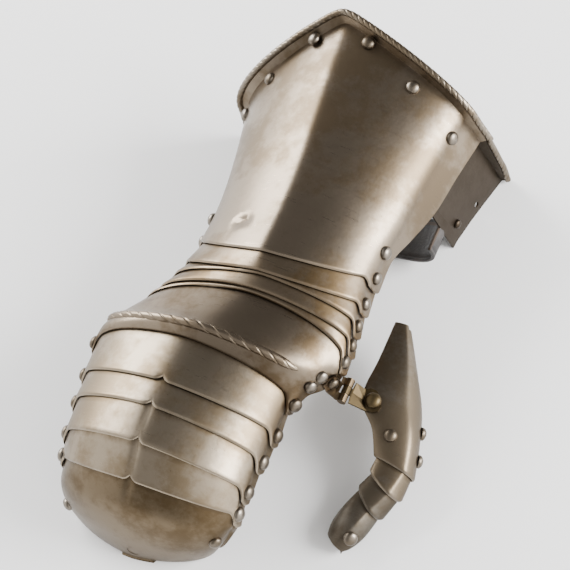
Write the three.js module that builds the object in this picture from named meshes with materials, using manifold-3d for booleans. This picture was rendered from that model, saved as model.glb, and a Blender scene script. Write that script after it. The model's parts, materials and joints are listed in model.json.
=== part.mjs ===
// Mitten gauntlet for the right hand: a keeled and flared cuff with a pointed, roped mouth,
// four wrist lames, a metacarpal plate with a roped knuckle ridge, four finger lames, an end
// plate, and a thumb defence on a hinge. Millimetres: +X to the thumb side, +Y towards the
// elbow, +Z up. It lies palm down on the cuff's side plates and the end plate's lower edge.
import * as THREE from 'three';
import { mergeVertices } from 'three/addons/utils/BufferGeometryUtils.js';
import Module from 'manifold-3d';

const wasm = await Module();
wasm.setup();

// ---------------------------------------------------------------- driving dimensions
const steel = 1.2;                // thickness of every steel plate
const clearance = 0.75;           // air between two lames that slide over each other
const layer = steel + clearance;  // step from one plate's outside to the next one's
const seat = 0.3;                 // air between a fixed piece and what it sits on
const rivetRadius = 3.6;
const rivetHeight = 2.6;
const largeRivet = 1.1;           // the cuff's and the fingers' rivets, next to the others
const lobe = 6.5;                 // each plate reaches this far past its pivot rivets, as a tab
const flangeWidth = 7.4;          // out-turned flange round the cuff's mouth
const ropeRadius = 2;
const ropePitch = 6.2;            // one strand to the next along the roped edge
const ropeStep = ropePitch / 2;   // length of one facet of the roping
const notchDepth = 2.4;           // small V cut in each lame's edge at the medial ridge

// Sections of the cuff, hand and fingers, from the mouth to the finger tips. x, y, z: middle
// of the section at the level of the pivots; width: half width there; reach: how much further
// towards the elbow the ridge lies; height: ridge above the pivots; keel and point: how sharp
// the ridge is in section and in plan, 0 to 1; drop: depth of the side below the pivots.
const cuffRows = [
  { x: -2.0, y: 105, z: 46.0, width: 69.5, reach: 32, height: 46.0, keel: 0.38, point: 1.0, drop: 18 },
  { x: -1.5, y: 82, z: 46.0, width: 64.0, reach: 22, height: 43.5, keel: 0.38, point: 0.8, drop: 18 },
  { x: -0.5, y: 58, z: 46.5, width: 59.0, reach: 14, height: 40.0, keel: 0.38, point: 0.5, drop: 18 },
  { x: 0.5, y: 36, z: 47.0, width: 55.5, reach: 7, height: 36.5, keel: 0.36, point: 0.3, drop: 12 },
  { x: 0.5, y: 18, z: 47.5, width: 53.0, reach: -4, height: 34.5, keel: 0.34, point: 0.2, drop: 7 },
  { x: 0.5, y: 2, z: 48.0, width: 52.5, reach: -17, height: 35.0, keel: 0.3, point: 0.1, drop: 8 },
];
const wristEdges = [
  { x: 0.0, y: -13.5, z: 47.5, width: 54.0, reach: -12, height: 32.8, keel: 0.25, point: 0, drop: 6 },
  { x: -1.2, y: -26.5, z: 47.0, width: 56.0, reach: 0, height: 31.3, keel: 0.25, point: 0, drop: 6 },
  { x: -2.8, y: -37.5, z: 46.5, width: 58.8, reach: 3.4, height: 28.8, keel: 0.22, point: 0, drop: 6 },
  { x: -5.5, y: -47.5, z: 46.0, width: 60.5, reach: 11.6, height: 27.2, keel: 0.22, point: 0, drop: 6 },
];
const handRows = [
  { x: -12, y: -57, z: 45.0, width: 61.5, reach: 0, height: 31.5, keel: 0.22, point: 0, drop: 8 },
  { x: -16.5, y: -64, z: 44.5, width: 62.0, reach: -1.4, height: 35.5, keel: 0.22, point: 0, drop: 5 },
  { x: -21, y: -70, z: 43.0, width: 61.0, reach: 1, height: 35.3, keel: 0.22, point: 0, drop: 3 },
  { x: -24.5, y: -76, z: 40.0, width: 59.2, reach: 3.5, height: 34.5, keel: 0.22, point: 0, drop: 5 },
];
const ropeRow = 1;                // the hand row that carries the roped knuckle ridge
const fingerEdges = [
  { x: -23, y: -95, z: 38.5, width: 57.6, reach: -4.4, height: 37.5, keel: 0.22, point: 0, drop: 5 },
  { x: -22.6, y: -111, z: 37.5, width: 55.8, reach: -3.4, height: 38.0, keel: 0.22, point: 0, drop: 5 },
  { x: -22.2, y: -128, z: 34.0, width: 54.0, reach: -5.6, height: 36.5, keel: 0.22, point: 0, drop: 5 },
  { x: -21.5, y: -138.5, z: 28.0, width: 52.4, reach: -12, height: 30.5, keel: 0.22, point: 0, drop: 5 },
];
const tipRows = [
  { x: -23.5, y: -146, z: 21, width: 50.0, reach: -14.5, height: 22, keel: 0.16, point: 0, drop: 4 },
  { x: -25, y: -149, z: 14, width: 48.5, reach: -17.5, height: 12, keel: 0.1, point: 0, drop: 3 },
  { x: -26, y: -150.5, z: 7, width: 46.0, reach: -19, height: 4, keel: 0.05, point: 0.1, drop: 2 },
  { x: -26.5, y: -151, z: 2.6, width: 44.0, reach: -19.5, height: -2.6, keel: 0, point: 0.2, drop: 0 },
];
// Sections of the thumb, from the pointed top down. x, y, z: middle of the chord between the two
// edges; width: half of it; height: crest above it; lean: how far the crest is off the middle,
// outwards; reach: how much further towards the tip it lies; heading and pitch: how the section
// is turned in plan and tipped down; turn: how far it faces outwards; those three in degrees.
const thumbKeys = ['x', 'y', 'z', 'width', 'height', 'lean', 'reach', 'heading', 'pitch', 'turn'];
const thumbTable = (rows) => (
  rows.map((row) => Object.fromEntries(thumbKeys.map((key, k) => [key, row[k]]))));
const thumbBase = thumbTable([
  [67.6, -4, 21.5, 4.6, 2.8, 1.0, 0, 6, 5, 32],
  [74.2, -30, 21.0, 11.5, 7.4, 3.6, 0, 5, 5, 34],
  [78.6, -52, 20.0, 17.2, 10.8, 5.4, 0, 15, 6, 37],
  [87.0, -68, 19.0, 13.6, 10.0, 4.5, 0, 8, 8, 38],
  [92.2, -84, 15.0, 12.6, 9.5, 3.0, -1, -12, 12, 38],
]);
const thumbEdges = thumbTable([
  [91.2, -93, 12.8, 11.8, 9.0, 2, 2.5, -24, 12, 36],
  [86.6, -103.5, 10.6, 10.8, 8.6, 2, 3, -36, 12, 33],
]);
const thumbTip = thumbTable([
  [82.0, -115, 8.6, 9.8, 7.8, 1.5, 1, -40, 14, 30],
  [78.0, -123.5, 6.6, 8.6, 6.4, 1, 0.5, -42, 20, 27],
  [75.4, -129, 4.6, 5.6, 3.2, 0, 0, -42, 30, 25],
]);
const thumbKeel = 0.35;           // how sharp the thumb's ridge is, 0 to 1
const thumbAngles = [-90, -70, -50, -32, -16, 0, 16, 32, 50, 70, 90];
// The cuff is turned a little against the hand, more and more towards its mouth.
const twistStart = -50;           // y where the turning starts
const rollPerMillimetre = THREE.MathUtils.degToRad(0.077);
const yawPerMillimetre = THREE.MathUtils.degToRad(0.023);
const sideFlare = 0.2;            // how far the sides lean out below the pivots, per millimetre

// Positions across a section: an angle from the ridge, or a share of the drop below the side.
const archAngles = [-90, -80, -70, -56, -42, -28, -14, -2, 0, 2, 14, 28, 42, 56, 70, 80, 90];
const tab = (angle) => Math.max(0, 1 - Math.abs(90 - Math.abs(angle)) / 20);
const across = [
  { angle: -90, drop: 1, tab: 0.7 }, { angle: -90, drop: 0.5, tab: 1 },
  ...archAngles.map((angle) => ({ angle, drop: 0, tab: tab(angle) })),
  { angle: 90, drop: 0.5, tab: 1 }, { angle: 90, drop: 1, tab: 0.7 },
];
const ridgeColumn = across.findIndex((place) => place.angle === 0);
const thumbColumn = across.findIndex((place) => place.angle === 90);
const littleColumn = across.findIndex((place) => place.angle === -90 && place.drop === 0);

const colours = {
  steel: [0x9a9186, 0.38, 1],
  brass: [0x7d7048, 0.4, 1],
  leather: [0x1d1a19, 0.6, 0],
};
const group = new THREE.Group();

function material(kind) {
  const [color, roughness, metalness] = colours[kind];
  return new THREE.MeshStandardMaterial({ color, roughness, metalness });
}

function addMesh(name, geometry, kind, position, quaternion) {
  const mesh = new THREE.Mesh(geometry, material(kind));
  mesh.name = name;
  if (position) mesh.position.copy(position);
  if (quaternion) mesh.quaternion.copy(quaternion);
  group.add(mesh);
  return mesh;
}

// ---------------------------------------------------------------- surfaces
function frameAt(y) {
  const turn = Math.max(0, y - twistStart);
  const turned = new THREE.Matrix4().makeRotationZ(turn * yawPerMillimetre)
    .multiply(new THREE.Matrix4().makeRotationY(-turn * rollPerMillimetre));
  const [lateral, forward, up] = [new THREE.Vector3(), new THREE.Vector3(), new THREE.Vector3()];
  turned.extractBasis(lateral, forward, up);
  return { lateral, forward, up };
}

function sectionPoint(row, place) {
  const { lateral, forward, up } = frameAt(row.y);
  const angle = THREE.MathUtils.degToRad(place.angle);
  const side = Math.sign(place.angle);
  const straight = 1 - Math.abs(Math.sin(angle));
  const arch = THREE.MathUtils.lerp(Math.cos(angle), straight, row.keel);
  const sweep = THREE.MathUtils.lerp(Math.cos(angle), straight, row.point);
  const depth = place.drop * row.drop;
  return new THREE.Vector3(row.x, row.y, row.z)
    .addScaledVector(lateral, row.width * Math.sin(angle) + side * depth * sideFlare)
    .addScaledVector(forward, row.reach * sweep)
    .addScaledVector(up, row.height * arch - depth);
}

function thumbPoint(row, place) {
  const [heading, pitch, turn, angle] = [row.heading, row.pitch, row.turn, place.angle]
    .map(THREE.MathUtils.degToRad);
  const along = new THREE.Vector3(Math.sin(heading) * Math.cos(pitch),
    -Math.cos(heading) * Math.cos(pitch), -Math.sin(pitch));
  const side = new THREE.Vector3(0, 0, 1).cross(along).normalize();
  const up = along.clone().cross(side);
  const chord = side.clone().multiplyScalar(Math.cos(turn)).addScaledVector(up, -Math.sin(turn));
  const crest = up.multiplyScalar(Math.cos(turn)).addScaledVector(side, Math.sin(turn));
  const straight = 1 - Math.abs(Math.sin(angle));
  const rise = THREE.MathUtils.lerp(Math.cos(angle), straight, thumbKeel);
  return new THREE.Vector3(row.x, row.y, row.z)
    .addScaledVector(chord, row.width * Math.sin(angle) + row.lean * Math.cos(angle))
    .addScaledVector(along, row.reach * Math.cos(angle))
    .addScaledVector(crest, row.height * rise);
}

// Rows between the ones in a table, on a smooth curve through every number of a row.
function smoothRows(table, perSpan) {
  const keys = Object.keys(table[0]);
  const rows = [];
  const cubic = (a, b, c, d, t) => 0.5 * (2 * b + (c - a) * t + (2 * a - 5 * b + 4 * c - d) * t * t
    + (3 * b - a - 3 * c + d) * t * t * t);
  for (let i = 0; i < table.length - 1; i += 1) {
    const [a, b, c, d] = [table[Math.max(i - 1, 0)], table[i], table[i + 1],
      table[Math.min(i + 2, table.length - 1)]];
    for (let k = 0; k < perSpan; k += 1) {
      const row = {};
      for (const key of keys) row[key] = cubic(a[key], b[key], c[key], d[key], k / perSpan);
      rows.push(row);
    }
  }
  return [...rows, table[table.length - 1]];
}

// Outward normals of a grid of points [column][row], with the outside away from `inside`.
function gridNormals(grid, inside) {
  return grid.map((column, j) => column.map((point, i) => {
    const left = grid[Math.max(j - 1, 0)][i];
    const right = grid[Math.min(j + 1, grid.length - 1)][i];
    const back = column[Math.max(i - 1, 0)];
    const ahead = column[Math.min(i + 1, column.length - 1)];
    const normal = right.clone().sub(left).cross(ahead.clone().sub(back)).normalize();
    return inside && normal.dot(point.clone().sub(inside(point))) < 0 ? normal.negate() : normal;
  }));
}

function solidGeometry(points, faces) {
  const positions = [];
  for (const point of points) positions.push(point.x, point.y, point.z);
  let volume = 0;
  for (const [a, b, c] of faces) {
    volume += points[a].dot(points[b].clone().cross(points[c]));
  }
  const index = volume < 0 ? faces.flatMap(([a, b, c]) => [a, c, b]) : faces.flat();
  const geometry = new THREE.BufferGeometry();
  geometry.setAttribute('position', new THREE.Float32BufferAttribute(positions, 3));
  geometry.setIndex(index);
  geometry.computeVertexNormals();
  return geometry;
}

// A closed sheet: the outer grid, the same grid moved in by the thickness, and the edges.
function sheetGeometry(grid, normals, thickness) {
  const columns = grid.length;
  const rows = grid[0].length;
  const points = [...grid.flat(),
    ...grid.flatMap((column, j) => column.map((p, i) => (
      p.clone().addScaledVector(normals[j][i], -thickness))))];
  const outer = (j, i) => j * rows + i;
  const inner = (j, i) => columns * rows + j * rows + i;
  const faces = [];
  const quad = (a, b, c, d) => faces.push([a, b, c], [a, c, d]);
  for (let j = 0; j < columns - 1; j += 1) {
    for (let i = 0; i < rows - 1; i += 1) {
      quad(outer(j, i), outer(j + 1, i), outer(j + 1, i + 1), outer(j, i + 1));
      quad(inner(j, i), inner(j, i + 1), inner(j + 1, i + 1), inner(j + 1, i));
    }
    quad(outer(j, 0), inner(j, 0), inner(j + 1, 0), outer(j + 1, 0));
    quad(outer(j, rows - 1), outer(j + 1, rows - 1), inner(j + 1, rows - 1), inner(j, rows - 1));
  }
  for (let i = 0; i < rows - 1; i += 1) {
    quad(outer(0, i), outer(0, i + 1), inner(0, i + 1), inner(0, i));
    quad(outer(columns - 1, i), inner(columns - 1, i), inner(columns - 1, i + 1),
      outer(columns - 1, i + 1));
  }
  return solidGeometry(points, faces);
}

// ---------------------------------------------------------------- joining and cutting
const mergeBelow = 0.12;          // slivers and flat steps smaller than this are merged

function toManifold(geometry) {
  const bare = geometry.clone();
  bare.deleteAttribute('normal');
  bare.deleteAttribute('uv');
  const merged = mergeVertices(bare, 1e-4);
  return new wasm.Manifold(new wasm.Mesh({
    numProp: 3,
    vertProperties: new Float32Array(merged.attributes.position.array),
    triVerts: new Uint32Array(merged.index.array),
  }));
}

function toGeometry(solid) {
  const mesh = solid.simplify(mergeBelow).getMesh();
  const geometry = new THREE.BufferGeometry();
  geometry.setAttribute('position', new THREE.Float32BufferAttribute(mesh.vertProperties, 3));
  geometry.setIndex(Array.from(mesh.triVerts));
  geometry.computeVertexNormals();
  return geometry;
}

// ---------------------------------------------------------------- roping
// A twisted square bar along a path: its four corners are the strands of the roped edge.
function ropeGeometry(path, radius, step) {
  const curve = new THREE.CatmullRomCurve3(path);
  const length = curve.getLength();
  const count = Math.max(8, Math.round(length / step));
  const points = [];
  const faces = [];
  const corners = 4;
  for (let k = 0; k <= count; k += 1) {
    const centre = curve.getPointAt(k / count);
    const along = curve.getTangentAt(k / count);
    const first = new THREE.Vector3(0, 0, 1).cross(along).normalize();
    const second = along.clone().cross(first);
    const turn = (2 * Math.PI / corners) * (length * k / count / ropePitch);
    for (let c = 0; c < corners; c += 1) {
      const angle = turn + (2 * Math.PI * c) / corners;
      points.push(centre.clone().addScaledVector(first, radius * Math.cos(angle))
        .addScaledVector(second, radius * Math.sin(angle)));
    }
  }
  for (let k = 0; k < count; k += 1) {
    for (let c = 0; c < corners; c += 1) {
      const [a, b] = [k * corners + c, k * corners + ((c + 1) % corners)];
      faces.push([a, b, b + corners], [a, b + corners, a + corners]);
    }
  }
  const last = count * corners;
  faces.push([0, 2, 1], [0, 3, 2], [last, last + 1, last + 2], [last, last + 2, last + 3]);
  return solidGeometry(points, faces);
}

// ---------------------------------------------------------------- rivets
const rivetGeometry = (() => {
  const profile = [[0, 0], [1, 0], [0.8, 0.62], [0, 1]]
    .map(([r, h]) => new THREE.Vector2(r * rivetRadius, h * rivetHeight));
  return (scale) => new THREE.LatheGeometry(profile.map((p) => p.clone().multiplyScalar(scale)), 8)
    .rotateX(Math.PI / 2);
})();

// How far a surface rises over the plane that a head of this radius would sit in.
function swellUnder(surface, point, normal, radius) {
  const turn = new THREE.Quaternion().setFromUnitVectors(new THREE.Vector3(0, 0, 1), normal);
  const start = 20;
  let swell = 0;
  for (let k = 0; k < 16; k += 1) {
    const reach = k % 2 ? radius : radius * 0.55;
    const offset = new THREE.Vector3(reach, 0, start)
      .applyAxisAngle(new THREE.Vector3(0, 0, 1), (k * Math.PI) / 8).applyQuaternion(turn);
    const ray = new THREE.Raycaster(point.clone().add(offset), normal.clone().negate(), 0, start);
    const [hit] = ray.intersectObject(surface);
    if (hit) swell = Math.max(swell, start - hit.distance);
  }
  return swell;
}

function addRivet(name, surface, point, normal, kind = 'steel', scale = 1) {
  const turn = new THREE.Quaternion().setFromUnitVectors(new THREE.Vector3(0, 0, 1), normal);
  const lift = seat + swellUnder(surface, point, normal, rivetRadius * scale);
  const place = point.clone().addScaledVector(normal, lift);
  return addMesh(name, rivetGeometry(scale), kind, place, turn);
}

// The point and normal of a plate, `distance` back from its lower edge in one column.
function backFromEdge(plate, j, distance) {
  const column = plate.grid[j];
  let left = distance;
  for (let i = column.length - 1; i > 0; i -= 1) {
    const span = column[i].distanceTo(column[i - 1]);
    if (left <= span || i === 1) {
      const share = Math.min(left / span, 1);
      return {
        point: column[i].clone().lerp(column[i - 1], share),
        normal: plate.normals[j][i].clone().lerp(plate.normals[j][i - 1], share).normalize(),
      };
    }
    left -= span;
  }
  return null;
}

function addPair(name, plate, distance, scale = 1) {
  for (const [side, j] of [['thumb', thumbColumn], ['little', littleColumn]]) {
    const { point, normal } = backFromEdge(plate, j, distance);
    addRivet(`${name}_${side}`, plate.mesh, point, normal, 'steel', scale);
  }
}

// ---------------------------------------------------------------- plates
const armInside = (point) => new THREE.Vector3(point.x * 0.5 - 6, point.y, 20);

const arm = { places: across, section: sectionPoint, inside: armInside };
const thumb = {
  places: thumbAngles.map((angle) => ({ angle, drop: 0, tab: 0 })),
  section: thumbPoint,
  inside: (point) => new THREE.Vector3(point.x * 0.3 + 52, point.y, -4),
};

function makePlate(grid, limb = arm) {
  return { grid, limb, normals: gridNormals(grid, limb.inside) };
}

// A small V in the lower edge at the ridge.
function cutNotch(grid) {
  const column = grid[ridgeColumn];
  const end = column.length - 1;
  const back = column[end - 1].clone().sub(column[end]).setLength(notchDepth);
  column[end].add(back);
}

// The rounded tab of a lower edge round the pivot rivets.
function addTab(column, place) {
  const end = column[column.length - 1];
  end.addScaledVector(frameAt(end.y).forward, -lobe * place.tab);
}

// A plate that starts under the lower edge of the one before and ends at its own rows.
function nextPlate(previous, rows, overlapRidge, overlapSide, { notched = false, lobed = true } = {}) {
  const { limb } = previous;
  const grid = limb.places.map((place, j) => {
    const share = Math.abs(Math.sin(THREE.MathUtils.degToRad(place.angle)));
    const overlap = THREE.MathUtils.lerp(overlapRidge, overlapSide, share ** 3);
    const hidden = [overlap, overlap / 2, 0].map((distance) => {
      const { point, normal } = backFromEdge(previous, j, distance);
      return point.clone().addScaledVector(normal, -layer);
    });
    const own = rows.map((row) => limb.section(row, place));
    if (lobed) addTab(own, place);
    return [...hidden, ...own];
  });
  const plate = makePlate(grid, limb);
  if (notched) cutNotch(grid);
  return plate;
}

function addPlate(name, plate) {
  plate.mesh = addMesh(name, sheetGeometry(plate.grid, plate.normals, steel), 'steel');
}

// ---------------------------------------------------------------- cuff
const cuffBody = smoothRows(cuffRows, 2);
const cuff = makePlate(across.map((place) => {
  const column = cuffBody.map((row) => sectionPoint(row, place));
  addTab(column, place);
  return column;
}));
const mouthForward = frameAt(cuffRows[0].y).forward;

// The flange stands out from the mouth at an angle, and its edge is roped.
const flangeOut = 0.9;
const flangeForward = 0.42;
const flangeDirection = (normal) => normal.clone().multiplyScalar(flangeOut)
  .addScaledVector(mouthForward, flangeForward);
const flangeNormal = (normal) => normal.clone().multiplyScalar(flangeForward)
  .addScaledVector(mouthForward, -flangeOut);
const flangeLine = cuff.grid.map((column, j) => column[0].clone()
  .addScaledVector(flangeDirection(cuff.normals[j][0]), flangeWidth));
const cuffWithFlange = makePlate(cuff.grid.map((column, j) => [flangeLine[j], ...column]));
cuffWithFlange.normals.forEach((column, j) => {
  column[0] = flangeNormal(cuff.normals[j][0]);
});
const cuffSolid = toManifold(sheetGeometry(cuffWithFlange.grid, cuffWithFlange.normals, steel))
  .add(toManifold(ropeGeometry(flangeLine, ropeRadius, ropeStep)));
cuff.mesh = addMesh('cuff_plate', toGeometry(cuffSolid), 'steel');

// A row of a table at any y, on straight lines between its rows and past its ends.
function rowAt(table, y) {
  let k = 0;
  while (k < table.length - 2 && y < table[k + 1].y) k += 1;
  const share = (y - table[k].y) / (table[k + 1].y - table[k].y);
  const row = {};
  for (const key of Object.keys(table[0])) {
    row[key] = THREE.MathUtils.lerp(table[k][key], table[k + 1][key], share);
  }
  return row;
}

// A point on a table's surface with its outward normal; depth is measured below the pivots.
function surfaceAt(table, y, angle, depth = 0) {
  const at = (yy, turn, deep) => {
    const row = rowAt(table, yy);
    return sectionPoint(row, { angle: turn, drop: deep / row.drop });
  };
  const point = at(y, angle, depth);
  const small = Math.abs(angle) >= 90
    ? at(y, angle, depth + 1).sub(point) : at(y, angle + Math.sign(angle || 1), 0).sub(point);
  const normal = at(y - 1, angle, depth).sub(point).cross(small).normalize();
  if (normal.dot(point.clone().sub(armInside(point))) < 0) normal.negate();
  return { point, normal };
}

// y and angle: each rivet's place on the cuff, with positive angles towards the thumb.
const cuffRivets = [
  { name: 'rim_rivet_centre_thumb', y: 102, angle: 14 },
  { name: 'rim_rivet_middle_thumb', y: 97, angle: 42 },
  { name: 'rim_rivet_outer_thumb', y: 92, angle: 85 },
  { name: 'rim_rivet_centre_little', y: 102.5, angle: -14 },
  { name: 'rim_rivet_middle_little', y: 99, angle: -43 },
  { name: 'rim_rivet_outer_little', y: 92, angle: -72 },
  { name: 'cuff_rivet_thumb', y: 17, angle: 84 },
  { name: 'cuff_rivet_little', y: 17, angle: -84 },
];
for (const { name, y, angle } of cuffRivets) {
  const { point, normal } = surfaceAt(cuffBody, y, angle);
  addRivet(name, cuff.mesh, point, normal, 'steel', largeRivet);
}

// ---------------------------------------------------------------- cuff's side plates
// Each runs from behind the outer plate's lower edge down to the surface it rests on. Its rim
// carries on the flange and the roping, and a strip of its wrist edge is turned in.
const sidePlateTuck = 6;
const sidePlateWristY = 61;
const sidePlateRake = 0.16;       // both ends run further towards the elbow lower down
const sidePlateLean = { thumb: 0.2, little: 0.05 };  // outwards, per millimetre of depth
const sideFlange = 5.4;
// The strip at the wrist, at the seam and at the foot: width, and how far it turns in for that.
const wristStrip = { width: [4.4, 7], turn: [0.42, 0.24] };
const flangeStart = 0.22;         // how far down the first strip of the plate they begin
const sideRows = 4;
const sideColumns = 4;
const outerDrop = cuffRows[0].drop;

const outward = { thumb: 1, little: -1 };

// The outside of a side plate, `depth` below the pivots.
function sideWall(side, y, depth) {
  const behind = (deep) => {
    const { point, normal } = surfaceAt(cuffBody, y, outward[side] * 90, deep);
    return { point: point.addScaledVector(normal, -layer), normal };
  };
  if (depth <= outerDrop) return behind(depth);
  const { point, normal: over } = behind(outerDrop);
  const down = new THREE.Vector3(outward[side] * sidePlateLean[side], 0, -1);
  const normal = new THREE.Vector3(outward[side], over.y, outward[side] * down.x).normalize();
  return { point: point.addScaledVector(down, depth - outerDrop), normal };
}

function makeSidePlate(side) {
  const top = outerDrop - sidePlateTuck;
  const list = (count) => [...Array(count + 1).keys()];
  const cells = list(sideColumns).map((column) => list(sideRows).map((row) => {
    const nearY = THREE.MathUtils.lerp(cuffRows[0].y - 1, sidePlateWristY, row / sideRows);
    const floor = outerDrop + sideWall(side, nearY, outerDrop + 1e-6).point.z;
    const depth = column === 0 ? top : THREE.MathUtils.lerp(outerDrop, floor,
      (column - 1) / (sideColumns - 1));
    return sideWall(side, nearY + sidePlateRake * Math.max(0, depth - outerDrop), depth);
  }));
  // The foot is level.
  for (const cell of cells[sideColumns]) cell.point.z = 0;
  const grid = cells.map((column) => column.map((cell) => cell.point));
  const normals = cells.map((column) => column.map((cell) => cell.normal));
  let solid = toManifold(sheetGeometry(grid, normals, steel));
  // The flanges start a little below the outer plate's edge.
  const free = cells.slice(1).map((column) => [column[0], column[sideRows]]);
  const lowered = free.map(([rim, wrist], k) => {
    if (k > 0) return { rim, wrist };
    const below = (cell, next) => ({
      point: cell.point.clone().lerp(next.point, flangeStart), normal: cell.normal,
    });
    return { rim: below(rim, free[1][0]), wrist: below(wrist, free[1][1]) };
  });
  const rimTip = lowered.map(({ rim }) => rim.point.clone()
    .addScaledVector(flangeDirection(rim.normal), sideFlange));
  const rimRoot = lowered.map(({ rim }) => rim.point.clone()
    .addScaledVector(rim.normal, -steel / 2).addScaledVector(mouthForward, -steel));
  const rimNormals = lowered.map(({ rim }) => [flangeNormal(rim.normal), flangeNormal(rim.normal)]);
  solid = solid
    .add(toManifold(sheetGeometry(rimTip.map((tip, k) => [tip, rimRoot[k]]), rimNormals, steel)))
    .add(toManifold(ropeGeometry(rimTip, ropeRadius, ropeStep)));
  const stripAt = (k) => {
    const share = k / (lowered.length - 1);
    return { width: THREE.MathUtils.lerp(...wristStrip.width, share),
      turn: THREE.MathUtils.lerp(...wristStrip.turn, share) };
  };
  const wristGrid = lowered.map(({ wrist: { point, normal } }, k) => [
    point.clone().addScaledVector(normal, -steel / 2).addScaledVector(mouthForward, steel),
    point.clone().addScaledVector(normal, -stripAt(k).width * stripAt(k).turn)
      .addScaledVector(mouthForward, -stripAt(k).width)]);
  const wristNormals = lowered.map(({ wrist: { normal } }, k) => {
    const facing = normal.clone().addScaledVector(mouthForward, -stripAt(k).turn).normalize();
    return [facing, facing];
  });
  solid = solid.add(toManifold(sheetGeometry(wristGrid, wristNormals, steel)));
  // Nothing reaches below the surface it stands on.
  return solid.trimByPlane([0, 0, 1], 0);
}

function punch(solid, { point, normal }, radius) {
  const drill = new THREE.CylinderGeometry(radius, radius, 12, 8).rotateX(Math.PI / 2)
    .applyQuaternion(new THREE.Quaternion().setFromUnitVectors(new THREE.Vector3(0, 0, 1), normal))
    .translate(point.x, point.y, point.z);
  return solid.subtract(toManifold(drill));
}
const laceHole = { y: 88, depth: 52.5, radius: 1.8 };
const lacedPlate = punch(makeSidePlate('thumb'),
  sideWall('thumb', laceHole.y, laceHole.depth), laceHole.radius);
const thumbSidePlate = addMesh('cuff_side_plate_thumb', toGeometry(lacedPlate), 'steel');
addMesh('cuff_side_plate_little', toGeometry(makeSidePlate('little')), 'steel');
const { point: strapAt, normal: strapOut } = sideWall('thumb', 70, 45.5);
addRivet('strap_rivet', thumbSidePlate, strapAt, strapOut, 'steel', 0.75);

// The strap hangs under the wrist in a flat U, inside the side plates, from one to the other.
const strapY = 61;                // middle of its width
const strapWidth = 30;
const strapThick = 2.2;
const strapRest = 2.5;            // air under it
const strapTop = 21;
const strapFacets = 22;
const strapBelow = strapRest + strapThick;
const strapInset = 2 * steel + layer + seat;

// inwards: distance from the side plate; rise: height over the flat middle
const strapProfile = [
  { inwards: 1.4, rise: strapTop - strapBelow }, { inwards: 0, rise: 10 },
  { inwards: 2.5, rise: 5.4 }, { inwards: 8.5, rise: 2 }, { inwards: 18, rise: 0.3 },
  { inwards: 28, rise: 0 },
];

function strapSide(side) {
  const beside = strapY + 5;
  const seam = sideWall(side, beside, outerDrop + 1e-6).point.z;
  const foot = sideWall(side, beside, outerDrop + seam - 10).point.x - outward[side] * strapInset;
  return strapProfile.map(({ inwards, rise }) => new THREE.Vector3(
    foot - outward[side] * inwards, 0, strapBelow + Math.min(rise, seam - 4 - strapBelow)));
}
const strapCurve = new THREE.CatmullRomCurve3([...strapSide('little'), ...strapSide('thumb').reverse()],
  false, 'centripetal');
const strapGrid = [strapY + strapWidth / 2, strapY - strapWidth / 2].map((y) => (
  strapCurve.getPoints(strapFacets).map((point) => new THREE.Vector3(point.x, y, point.z))));
const strapNormals = strapGrid.map((column) => column.map((point, i) => {
  const ahead = column[Math.min(i + 1, column.length - 1)];
  const back = column[Math.max(i - 1, 0)];
  return ahead.clone().sub(back).cross(new THREE.Vector3(0, 1, 0)).normalize().negate();
}));
addMesh('wrist_strap', sheetGeometry(strapGrid, strapNormals, strapThick), 'leather');

// ---------------------------------------------------------------- wrist, hand and fingers
let above = cuff;
wristEdges.forEach((edge, k) => {
  const lame = nextPlate(above, [edge], 6, 12);
  addPlate(`wrist_lame_${k + 1}`, lame);
  addPair(`wrist_rivet_${k + 1}`, above, lobe);
  above = lame;
});
const metacarpal = nextPlate(above, handRows, 6, 12);
const knuckleAngles = archAngles.filter((angle) => angle > -90 && angle <= 60);
const knuckleLine = knuckleAngles.map((angle) => (
  sectionPoint(handRows[ropeRow], { angle, drop: 0 }).add(new THREE.Vector3(0, -0.4, 0.6))));
const metacarpalSolid = toManifold(sheetGeometry(metacarpal.grid, metacarpal.normals, steel))
  .add(toManifold(ropeGeometry(knuckleLine, ropeRadius, ropeStep)));
metacarpal.mesh = addMesh('metacarpal_plate', toGeometry(metacarpalSolid), 'steel');
addPair('wrist_rivet_5', above, lobe);
above = metacarpal;
fingerEdges.forEach((edge, k) => {
  const lame = nextPlate(above, [edge], 8, 12, { notched: true });
  addPlate(`finger_lame_${k + 1}`, lame);
  addPair(`finger_rivet_${k + 1}`, above, lobe, largeRivet);
  above = lame;
});
const endPlate = nextPlate(above, tipRows, 8, 12, { lobed: false });
addPlate('finger_end_plate', endPlate);
addPair('finger_rivet_5', above, lobe, largeRivet);

// ---------------------------------------------------------------- thumb
const thumbRows = smoothRows(thumbBase, 2);
const thumbPlate = makePlate(thumb.places.map((place) => (
  thumbRows.map((row) => thumbPoint(row, place)))), thumb);
addPlate('thumb_base_plate', thumbPlate);
const thumbLames = [thumbPlate];
thumbEdges.forEach((edge, k) => {
  const lame = nextPlate(thumbLames[k], [edge], 5, 5, { lobed: false });
  addPlate(`thumb_lame_${k + 1}`, lame);
  thumbLames.push(lame);
});
const thumbEnd = nextPlate(thumbLames[2], thumbTip, 5, 5, { lobed: false });
addPlate('thumb_tip_plate', thumbEnd);

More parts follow.
